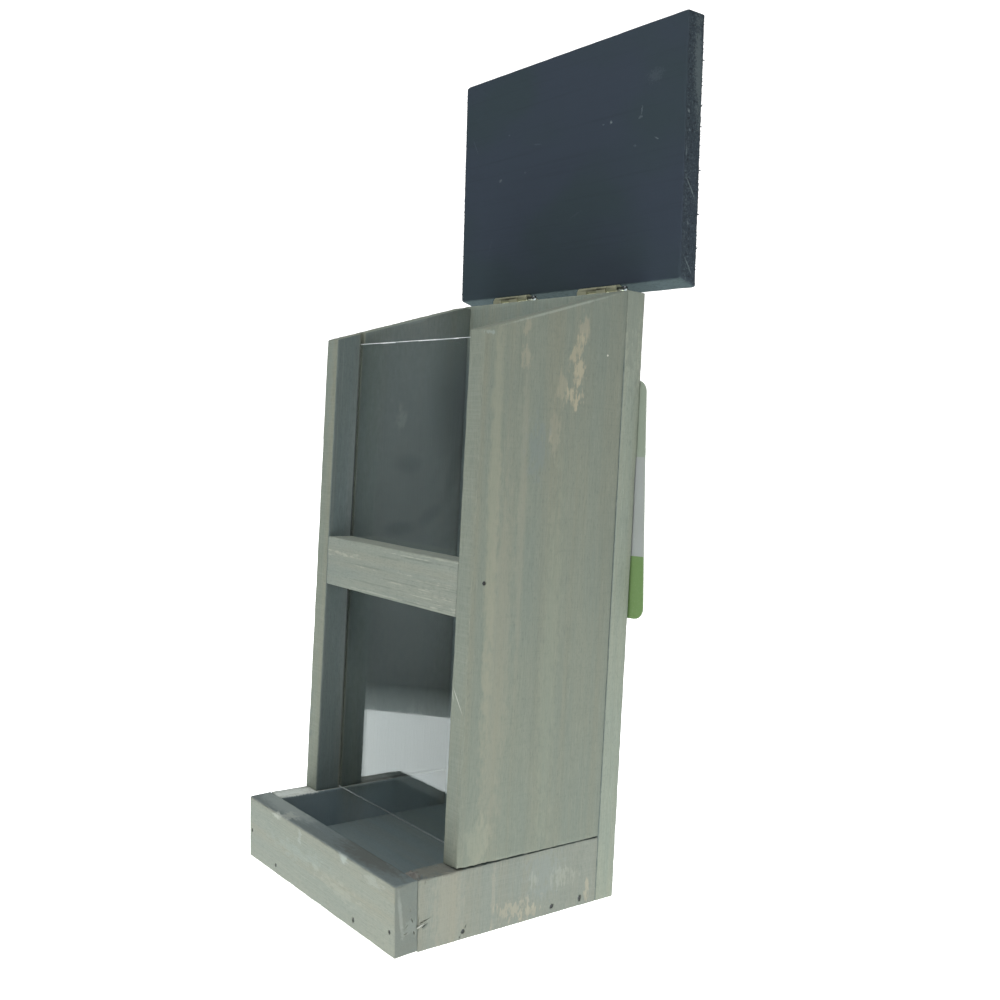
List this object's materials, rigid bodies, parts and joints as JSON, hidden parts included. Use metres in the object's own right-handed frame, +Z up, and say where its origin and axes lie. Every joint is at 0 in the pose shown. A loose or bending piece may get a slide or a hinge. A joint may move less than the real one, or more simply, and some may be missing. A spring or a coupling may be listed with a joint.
{
  "type": "silo bird feeder",
  "caption": "Narrow hopper bird feeder of painted boards on a shallow seed tray, with a clear front pane held in grooves and a sloping hinged lid standing open.",
  "frame": {"origin": "middle of the footprint of the tray and back board, on the surface that the feeder stands on", "axes": "+Z up, front of the tray faces -Y, +X to the right seen from the front"},
  "size_m": [0.178, 0.1447, 0.4344],
  "materials": {
    "painted_pine": "matt grey-green stain on sawn pine",
    "dark_pine": "matt dark slate stain on sawn pine",
    "lid_paint": "satin blue-black paint on sawn pine",
    "clear_acrylic": "clear polished sheet",
    "brass": "lightly tarnished pressed brass",
    "bright_steel": "bright drawn wire",
    "dark_steel": "dull dark wire",
    "card": "satin coated card"
  },
  "bodies": {
    "feeder_body": {"back_board": "painted_pine", "left_tray_rail": "painted_pine", "right_tray_rail": "painted_pine", "tray_front_board": "painted_pine", "tray_floor": "dark_pine", "left_side_panel": "painted_pine", "right_side_panel": "painted_pine", "cross_slat": "painted_pine", "left_fixed_leaf": "brass", "left_hinge_pin": "bright_steel", "right_fixed_leaf": "brass", "right_hinge_pin": "bright_steel", "fixed_leaf_screws": "brass", "front_board_nails": "dark_steel", "left_floor_nails": "dark_steel", "right_floor_nails": "dark_steel", "slat_nails": "dark_steel", "back_board_nails": "dark_steel", "label_card": "card", "card_staple": "bright_steel"},
    "lid": {"lid_board": "lid_paint", "left_moving_leaf": "brass", "right_moving_leaf": "brass", "moving_leaf_screws": "brass"},
    "pane": {"acrylic_pane": "clear_acrylic"}
  },
  "joints": [
    {"name": "lid_hinge", "type": "hinge", "parent": "feeder_body", "child": "lid", "pos_m": [0, 0.0668, 0.304], "axis": [-1, 0, 0], "range_deg": [-106, 70]},
    {"name": "pane_slide", "type": "slide", "parent": "feeder_body", "child": "pane", "axis": [0, 0, 1], "range_m": [0, 0.005]}
  ]
}
